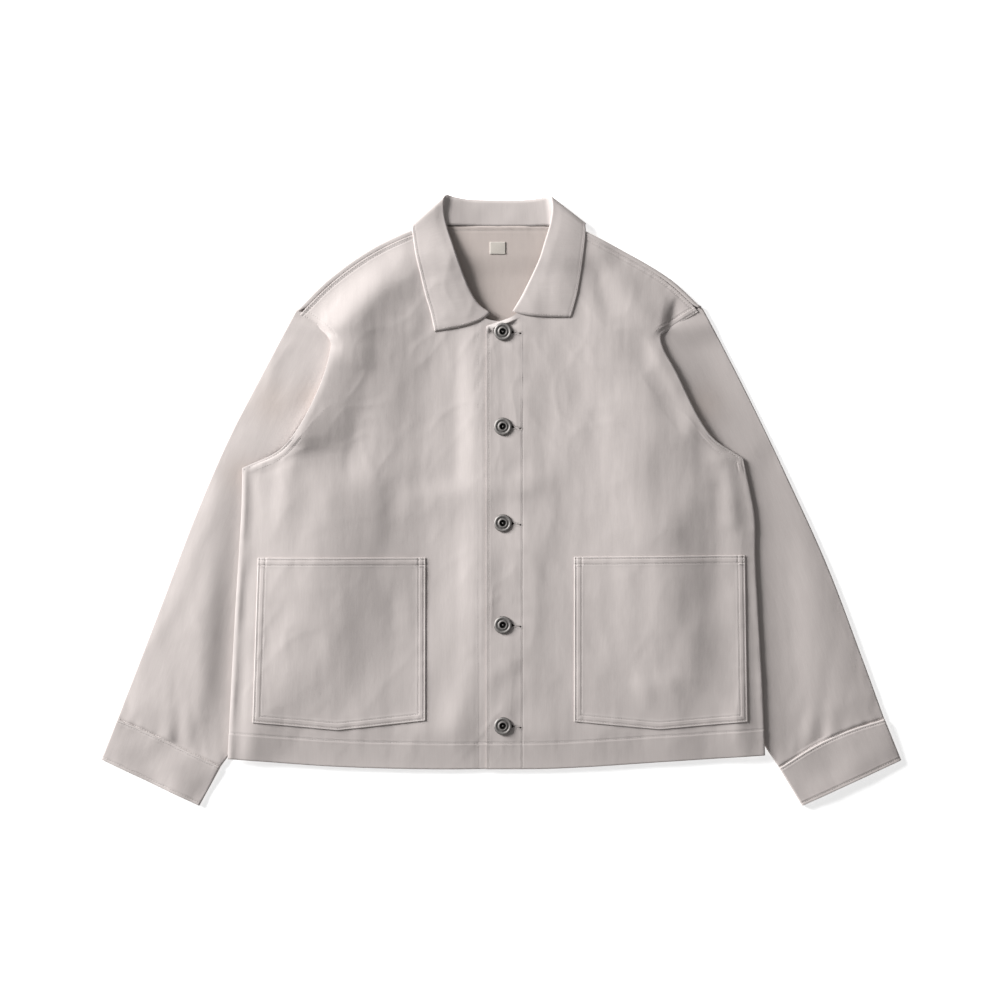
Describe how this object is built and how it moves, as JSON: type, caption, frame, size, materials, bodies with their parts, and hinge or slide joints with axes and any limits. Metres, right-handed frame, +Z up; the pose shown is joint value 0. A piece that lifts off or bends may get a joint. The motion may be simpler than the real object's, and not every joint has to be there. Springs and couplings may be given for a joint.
{
  "type": "chore jacket",
  "caption": "Boxy cotton chore jacket, buttoned and laid flat on its back, with a shirt collar, metal buttons, patch pockets and sleeves with cuff bands.",
  "frame": {"origin": "centre of the box of the laid jacket, on the surface that it lies on", "axes": "+X towards the wearer's left sleeve, which is the right of someone looking down at the front, +Y from the hem to the collar, +Z up out of the fronts"},
  "size_m": [0.9216, 0.7032, 0.0149],
  "materials": {
    "cotton_twill": "matt washed twill, pale pinkish greige",
    "button_metal": "worn dull grey cast metal",
    "label_tape": "plain woven tape"
  },
  "bodies": {
    "root": {"back_panel": "cotton_twill", "front_left": "cotton_twill", "front_right": "cotton_twill", "sleeve_left": "cotton_twill", "sleeve_right": "cotton_twill", "cuff_left": "cotton_twill", "cuff_right": "cotton_twill", "collar": "cotton_twill", "pocket_left": "cotton_twill", "pocket_right": "cotton_twill", "button_1": "button_metal", "button_2": "button_metal", "button_3": "button_metal", "button_4": "button_metal", "button_5": "button_metal", "neck_label": "label_tape"}
  },
  "joints": []
}
